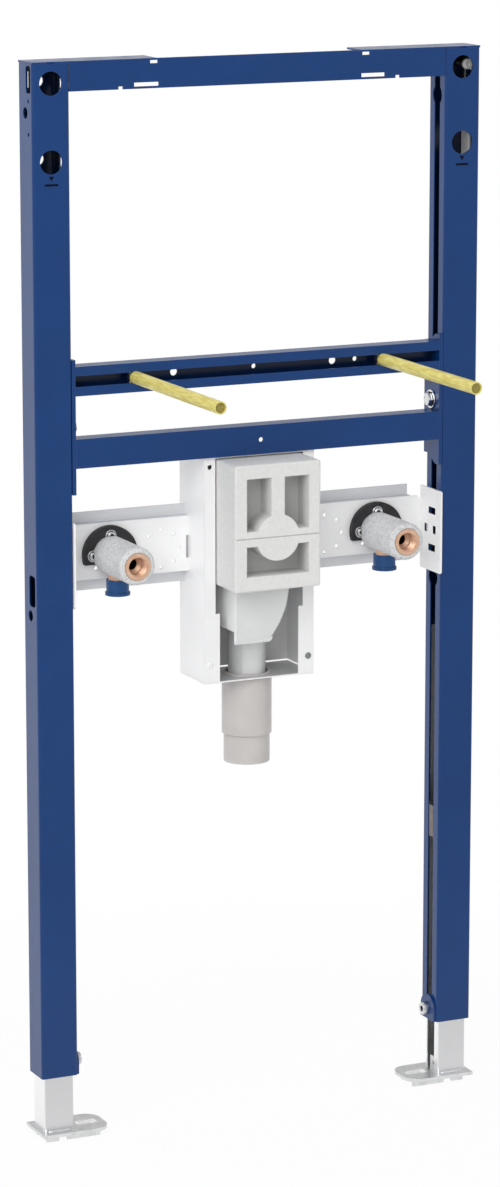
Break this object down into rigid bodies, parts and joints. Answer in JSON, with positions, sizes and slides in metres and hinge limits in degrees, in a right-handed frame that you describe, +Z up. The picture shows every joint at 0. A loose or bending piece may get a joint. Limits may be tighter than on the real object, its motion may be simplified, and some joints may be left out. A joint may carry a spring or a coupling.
{
  "type": "washbasin installation frame",
  "caption": "Free-standing steel frame that carries a wall-hung washbasin, with telescoping feet, a fixing rail, tap connections and a boxed trap outlet.",
  "frame": {"origin": "on the floor, midway between the bolt slots of the two feet", "axes": "+X to the right seen from the room, +Y towards the wall, +Z up"},
  "size_m": [0.502, 0.272, 1.12],
  "materials": {
    "blue_paint": "satin powder coat",
    "zinc_steel": "bright zinc",
    "galvanised": "galvanised sheet",
    "yellow_plastic": "extruded tube",
    "black_rubber": "matt",
    "bronze": "cast and turned",
    "white_foam": "moulded foam",
    "blue_plastic": "moulded",
    "white_plastic": "moulded foam block",
    "grey_plastic": "moulded",
    "pipe_grey": "extruded pipe"
  },
  "bodies": {
    "frame": {"fixing_rail": "blue_paint", "left_anchor_strip": "galvanised", "left_clamp_bolt": "zinc_steel", "left_clamp_tab": "blue_paint", "left_end_plate": "blue_paint", "left_inlet_cap": "blue_plastic", "left_rail_bolt": "zinc_steel", "left_rod_sleeve": "yellow_plastic", "left_sound_pad": "black_rubber", "left_tap_elbow": "bronze", "left_tap_insulation": "white_foam", "left_tap_plate": "galvanised", "left_tap_screws": "zinc_steel", "left_threaded_rod": "zinc_steel", "left_upright": "blue_paint", "lower_crossbar": "blue_paint", "outlet_pipe": "pipe_grey", "outlet_sleeve": "pipe_grey", "right_anchor_strip": "galvanised", "right_clamp_bolt": "zinc_steel", "right_clamp_tab": "blue_paint", "right_end_plate": "blue_paint", "right_inlet_cap": "blue_plastic", "right_rail_bolt": "zinc_steel", "right_rod_sleeve": "yellow_plastic", "right_sound_pad": "black_rubber", "right_tap_elbow": "bronze", "right_tap_insulation": "white_foam", "right_tap_plate": "galvanised", "right_tap_screws": "zinc_steel", "right_threaded_rod": "zinc_steel", "right_upright": "blue_paint", "top_rail": "blue_paint", "trap_box": "galvanised", "trap_box_floor": "galvanised", "trap_box_lid": "galvanised", "trap_cover": "white_plastic", "trap_cup": "grey_plastic"},
    "left_foot": {"left_leg": "galvanised", "left_foot_plate": "galvanised"},
    "right_foot": {"right_leg": "galvanised", "right_foot_plate": "galvanised"}
  },
  "joints": [
    {"name": "left_leg_slide", "type": "slide", "parent": "frame", "child": "left_foot", "axis": [0, 0, 1], "range_m": [-0.138, 0.052]},
    {"name": "right_leg_slide", "type": "slide", "parent": "frame", "child": "right_foot", "axis": [0, 0, 1], "range_m": [-0.138, 0.052]}
  ]
}
